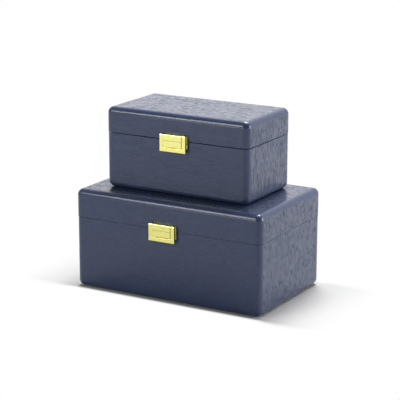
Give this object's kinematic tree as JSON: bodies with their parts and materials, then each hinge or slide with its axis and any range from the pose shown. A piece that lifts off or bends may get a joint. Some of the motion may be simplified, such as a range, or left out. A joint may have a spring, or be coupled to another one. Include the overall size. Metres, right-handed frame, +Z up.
{
  "type": "lidded keepsake box set",
  "caption": "Stacked lidded wooden keepsake boxes, the small one on the large, with rounded edges, velvet lining, butt hinges behind and a brass bail latch in front.",
  "frame": {"origin": "on the floor under the middle of the large box", "axes": "+X to the right along the fronts, +Y from front to back, +Z up"},
  "size_m": [0.2354, 0.1554, 0.206],
  "materials": {
    "navy_wood": "satin navy paint over open grained wood",
    "brass": "polished, pale gold",
    "velvet": "short pile over card"
  },
  "bodies": {
    "large_base": {"large_base_front": "navy_wood", "large_base_back": "navy_wood", "large_base_left": "navy_wood", "large_base_right": "navy_wood", "large_base_floor": "navy_wood", "large_base_lining": "velvet", "large_floor_board": "velvet", "large_base_hinge_leaves": "brass", "large_base_hinge_screws": "brass", "large_hinge_pins": "brass", "large_strike_plate": "brass", "large_strike_nails": "brass"},
    "large_lid": {"large_lid_front": "navy_wood", "large_lid_back": "navy_wood", "large_lid_left": "navy_wood", "large_lid_right": "navy_wood", "large_lid_top": "navy_wood", "large_lid_lining": "velvet", "large_lid_hinge_leaves": "brass", "large_lid_hinge_screws": "brass", "large_latch_plate": "brass", "large_latch_nails": "brass", "large_latch_pin": "brass"},
    "large_latch": {"large_latch_bail": "brass"},
    "small_base": {"small_base_front": "navy_wood", "small_base_back": "navy_wood", "small_base_left": "navy_wood", "small_base_right": "navy_wood", "small_base_floor": "navy_wood", "small_base_lining": "velvet", "small_floor_board": "velvet", "small_base_hinge_leaves": "brass", "small_base_hinge_screws": "brass", "small_hinge_pins": "brass", "small_strike_plate": "brass", "small_strike_nails": "brass"},
    "small_lid": {"small_lid_front": "navy_wood", "small_lid_back": "navy_wood", "small_lid_left": "navy_wood", "small_lid_right": "navy_wood", "small_lid_top": "navy_wood", "small_lid_lining": "velvet", "small_lid_hinge_leaves": "brass", "small_lid_hinge_screws": "brass", "small_latch_plate": "brass", "small_latch_nails": "brass", "small_latch_pin": "brass"},
    "small_latch": {"small_latch_bail": "brass"}
  },
  "joints": [
    {"name": "large_lid_hinge", "type": "hinge", "parent": "large_base", "child": "large_lid", "pos_m": [0, 0.0751, 0.082], "axis": [-1, 0, 0], "range_deg": [0, 95]},
    {"name": "large_latch_swing", "type": "hinge", "parent": "large_lid", "child": "large_latch", "pos_m": [-0.0022, -0.0756, 0.0874], "axis": [-1, 0, 0], "range_deg": [0, 165]},
    {"name": "small_box_lift", "type": "slide", "parent": "large_lid", "child": "small_base", "axis": [0, 0, 1], "range_m": [0, 0.12]},
    {"name": "small_lid_hinge", "type": "hinge", "parent": "small_base", "child": "small_lid", "pos_m": [-0.003, 0.0571, 0.177], "axis": [-1, 0, 0], "range_deg": [0, 95]},
    {"name": "small_latch_swing", "type": "hinge", "parent": "small_lid", "child": "small_latch", "pos_m": [-0.004, -0.0486, 0.1824], "axis": [-1, 0, 0], "range_deg": [0, 165]}
  ]
}
